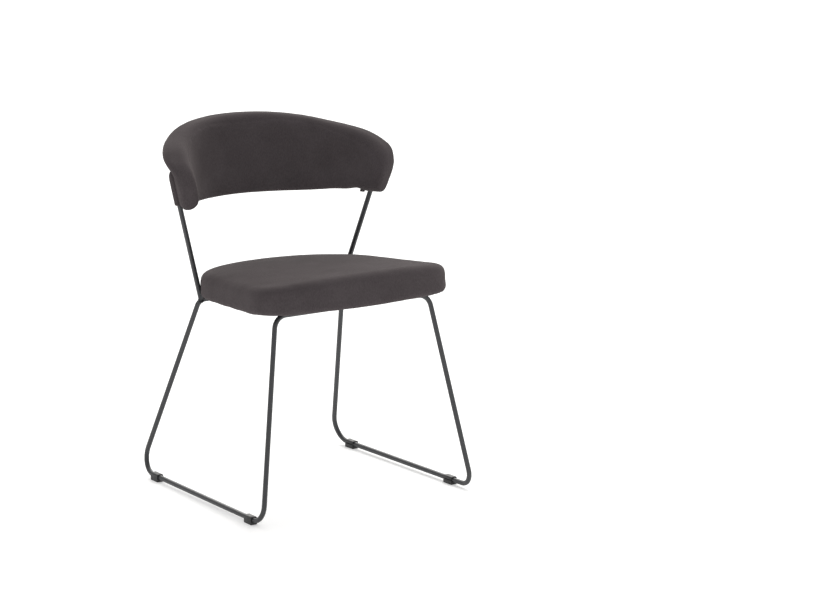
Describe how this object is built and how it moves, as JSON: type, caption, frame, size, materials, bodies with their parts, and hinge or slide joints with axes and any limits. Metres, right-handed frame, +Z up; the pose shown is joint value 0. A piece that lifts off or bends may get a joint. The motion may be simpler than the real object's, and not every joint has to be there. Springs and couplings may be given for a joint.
{
  "type": "dining chair",
  "caption": "Upholstered dining chair with a bent-rod sled base, a padded seat and a padded back that wraps round between two leaning uprights.",
  "frame": {"origin": "on the floor, under the middle of the chair's width and depth", "axes": "+Z is up, -Y is the way the sitter faces, and +X is to the right for a person who stands in front of the chair and looks at it"},
  "size_m": [0.5192, 0.5308, 0.715],
  "materials": {
    "frame_steel": "satin dark grey powder coat on steel rod",
    "glide_plastic": "moulded, fine grain",
    "upholstery": "smooth close-woven cloth, warm dark grey",
    "lining": "black non-woven dust cover",
    "foam": "open-cell cushion foam",
    "plywood": "raw birch plywood",
    "zinc_hardware": "bright zinc plate"
  },
  "bodies": {
    "root": {"base_rod_left": "frame_steel", "base_rod_right": "frame_steel", "upright_left": "frame_steel", "upright_right": "frame_steel", "glide_front_left": "glide_plastic", "glide_front_right": "glide_plastic", "glide_rear_left": "glide_plastic", "glide_rear_right": "glide_plastic", "seat_cover": "upholstery", "seat_foam": "foam", "seat_board": "plywood", "seat_dust_cover": "lining", "seat_tab_front_left": "frame_steel", "seat_tab_front_right": "frame_steel", "seat_tab_rear_left": "frame_steel", "seat_tab_rear_right": "frame_steel", "seat_screw_front_left": "zinc_hardware", "seat_screw_front_right": "zinc_hardware", "seat_screw_rear_left": "zinc_hardware", "seat_screw_rear_right": "zinc_hardware", "seat_tee_nut_front_left": "zinc_hardware", "seat_tee_nut_front_right": "zinc_hardware", "seat_tee_nut_rear_left": "zinc_hardware", "seat_tee_nut_rear_right": "zinc_hardware", "back_cover": "upholstery", "back_foam": "foam", "back_shell": "plywood", "back_screw_lower_left": "zinc_hardware", "back_screw_lower_right": "zinc_hardware", "back_screw_upper_left": "zinc_hardware", "back_screw_upper_right": "zinc_hardware"}
  },
  "joints": []
}
